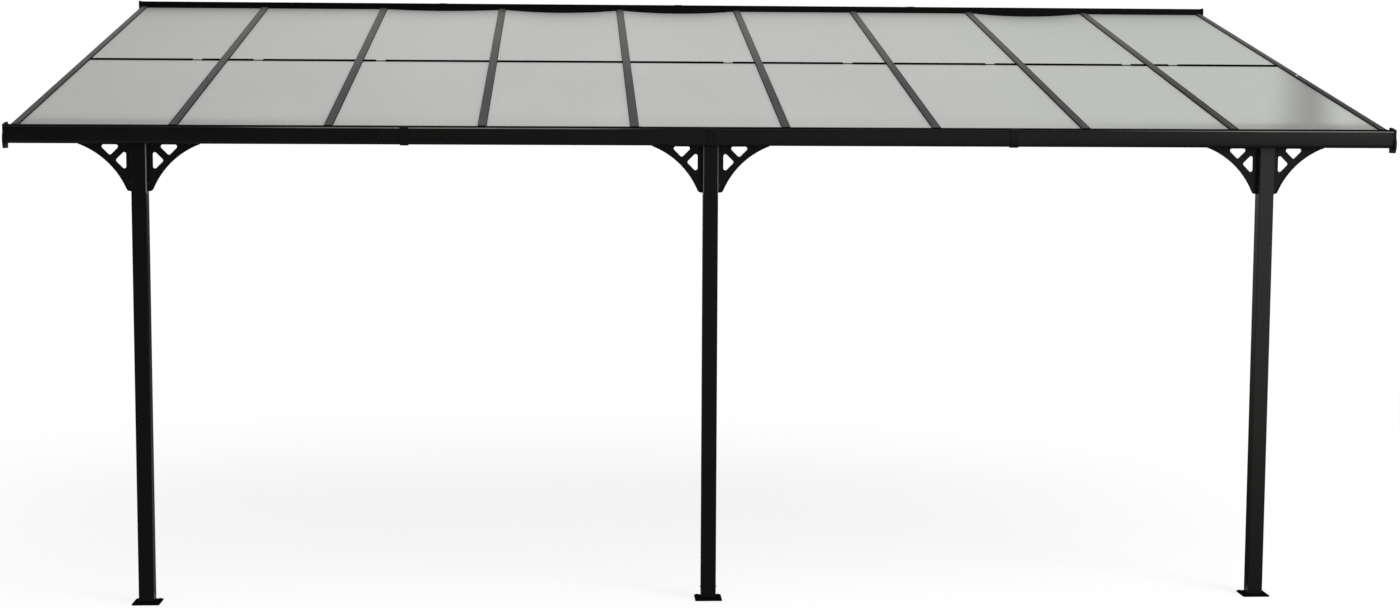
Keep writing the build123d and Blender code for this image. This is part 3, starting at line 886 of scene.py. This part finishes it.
rivet_places = []
for joint_x in JOINTS:
    for offset in (-RIVET_OFFSET, RIVET_OFFSET):
        for rise in RIVET_RISES:
            on_rear = (joint_x + offset, GUTTER_REAR, GUTTER_BOTTOM + rise)
            rivet_places.append(facing(on_rear, (0, 1, 0)))

shelf_places = []
for x in RAFTER_X:
    for offset in (-SHELF_SCREW_OFFSET, SHELF_SCREW_OFFSET):
        under_shelf = on_roof(x + offset, SHELF_SCREW_Y, -RAFTER_HEIGHT - WALL_PLATE)
        shelf_places.append(facing(under_shelf, (0, SIN, -COS)))

edge_place = facing(on_roof(RAFTER_X[-1] + EDGE_SCREW_OFFSET, EDGE_SCREW_Y, 0.0), ROOF_NORMAL)

fasteners("bracket_screws", PAN_HEAD, HEX_SOCKET, bracket_places)
fasteners("post_foot_screws", PAN_HEAD, HEX_SOCKET, post_places)
fasteners("cap_screws", PAN_HEAD, HEX_SOCKET, cap_places)
fasteners("foot_anchor_bolts", LOW_BOLT, HEX_SIDES, anchor_places, foot_coat)
fasteners("wall_screws", HEX_BOLT, HEX_SIDES, wall_places)
fasteners("gutter_rivets", RIVET, ALL_ROUND, rivet_places)
fasteners("shelf_screws", PAN_HEAD, HEX_SOCKET, shelf_places)
fasteners("cover_edge_screw", DOME_HEAD, ALL_ROUND, [edge_place], zinc_steel)


# Stage: floor, light and camera

SEEN = ("Camera", "Glossy", "Transmission")
FLOOR_SIDES = 64
FLOOR_RADII = np.array([0.01, 60.0])
FLOOR_GREY = (0.3, 0.3, 0.3, 1)
CARD_WIDTH = 16
CARD_DISTANCE = 18
CARD_HEIGHTS = np.linspace(0.05, 14, 3)
CARD_ANGLES = np.radians(np.linspace(-60, 60, 25))
PHOTO_WIDTH_PX = 1400


def make_floor():
    """A round pale floor that fades into the white around it: radius times (cos, sin) of the angle.

    Gloss sees it dim behind the posts, so that their sides stay dark.
    """
    angle = np.arange(FLOOR_SIDES) * 2 * math.pi / FLOOR_SIDES
    radius, angle = np.meshgrid(FLOOR_RADII, angle, indexing="ij")
    points = np.stack([radius * np.cos(angle), radius * np.sin(angle), 0 * radius], -1)
    faces = grid_faces(len(FLOOR_RADII), FLOOR_SIDES).tolist() + [list(range(FLOOR_SIDES))]
    mesh = bpy.data.meshes.new("floor")
    mesh.from_pydata(points.reshape(-1, 3).tolist(), [], faces)
    floor = bpy.data.objects.new("floor", mesh)
    bpy.context.scene.collection.objects.link(floor)
    paint = Finish(bpy.data.materials.new("floor_paint"))
    x, y, _ = paint.axes(paint.place())
    far = ((x * x + y * y) ** 0.5).between(4.5, 9.0)
    seen = paint.rays(*SEEN)
    matt = paint.node("ShaderNodeBsdfDiffuse", inputs={"Color": FLOOR_GREY})
    near = paint.node("ShaderNodeAddShader", inputs={0: matt, 1: paint.glow(0.4 + 0.36 * seen)})
    pale = paint.blend(far * seen, near, paint.glow(1.0))
    dim = paint.blend(x.between(-1.2, 0.0), paint.glow(0.22), paint.glow(0.04))
    behind = y.between(0.0, 0.2) * paint.rays("Glossy")
    mesh.materials.append(paint.close(paint.blend(behind, pale, dim)))


def make_world():
    """White where it is seen directly, in gloss or through the sheets, and a softer fill light."""
    sky = Finish(bpy.data.worlds.new("studio"))
    inputs = {"Color": (1, 1, 1, 1), "Strength": 0.55 + 0.45 * sky.rays(*SEEN)}
    light = sky.node("ShaderNodeBackground", inputs=inputs)
    bpy.context.scene.world = sky.close(light, "ShaderNodeOutputWorld")


def make_reflector():
    """A tall curved card behind the camera that only gloss shows: dark left, light right.

    A point is (width * sin a, -distance * cos a, h), with the angle a across and the height h.
    """
    angle, height = np.meshgrid(CARD_ANGLES, CARD_HEIGHTS, indexing="xy")
    points = [CARD_WIDTH * np.sin(angle), -CARD_DISTANCE * np.cos(angle), height]
    points = np.stack(points, -1).reshape(-1, 3)
    faces = grid_faces(len(CARD_HEIGHTS), len(CARD_ANGLES), closed=False)
    mesh = bpy.data.meshes.new("reflector")
    mesh.from_pydata(points.tolist(), [], faces.tolist())
    card = bpy.data.objects.new("reflector", mesh)
    bpy.context.scene.collection.objects.link(card)
    paint = Finish(bpy.data.materials.new("reflector_paint"))
    x, _, _ = paint.axes(paint.place())
    light = paint.blend(x.between(-14.0, 14.0) ** 2.0, paint.glow(0.1), paint.glow(3.3))
    clear = paint.node("ShaderNodeBsdfTransparent")
    mesh.materials.append(paint.close(paint.blend(paint.rays("Glossy"), clear, light)))


def make_lamp(name, position, target, size, power):
    """A soft square lamp at position that faces target."""
    data = bpy.data.lights.new(name, "AREA")
    data.shape, data.size, data.energy = "SQUARE", size, power
    lamp = bpy.data.objects.new(name, data)
    back = np.array(position, float) - np.array(target, float)
    lamp.matrix_world = Matrix(facing(position, back).tolist())
    bpy.context.scene.collection.objects.link(lamp)


def make_sun(strength, angle, out):
    """A soft sky light from the direction out, with its width as an angle in degrees."""
    data = bpy.data.lights.new("sky_sun", "SUN")
    data.energy, data.angle = strength, math.radians(angle)
    sun = bpy.data.objects.new("sky_sun", data)
    sun.matrix_world = Matrix(facing((0, 0, 8), out).tolist())
    bpy.context.scene.collection.objects.link(sun)


def make_camera(position, yaw, pitch, roll, focal_px):
    """The photograph's camera: turned by yaw to the right, pitch up and roll, in degrees."""
    yaw, pitch, roll = (math.radians(a) for a in (yaw, pitch, roll))
    flat = math.cos(pitch)
    forward = np.array([math.sin(yaw) * flat, math.cos(yaw) * flat, math.sin(pitch)])
    right = np.array([math.cos(yaw), -math.sin(yaw), 0.0])
    up = np.cross(right, forward)
    axes = np.eye(4)
    axes[:3, 0] = math.cos(roll) * right + math.sin(roll) * up
    axes[:3, 1] = math.cos(roll) * up - math.sin(roll) * right
    axes[:3, 2] = -forward
    axes[:3, 3] = position
    data = bpy.data.cameras.new("photo_camera")
    data.sensor_width = 36.0
    data.lens = focal_px * data.sensor_width / PHOTO_WIDTH_PX
    data.clip_end = 200.0
    camera = bpy.data.objects.new("photo_camera", data)
    camera.matrix_world = Matrix(axes.tolist())
    bpy.context.scene.collection.objects.link(camera)
    bpy.context.scene.camera = camera


make_floor()
make_world()
make_reflector()
make_sun(strength=0.9, angle=60, out=(0.35, -0.45, 1.0))
make_lamp("key", position=(7.0, -6.0, 4.5), target=(2.0, 0.5, 1.6), size=3.0, power=240.0)
make_camera((-0.6197, -9.9836, 2.2903), yaw=3.3061, pitch=-5.4869, roll=0.3031, focal_px=2261.6)

bpy.context.scene.view_settings.view_transform = "Standard"
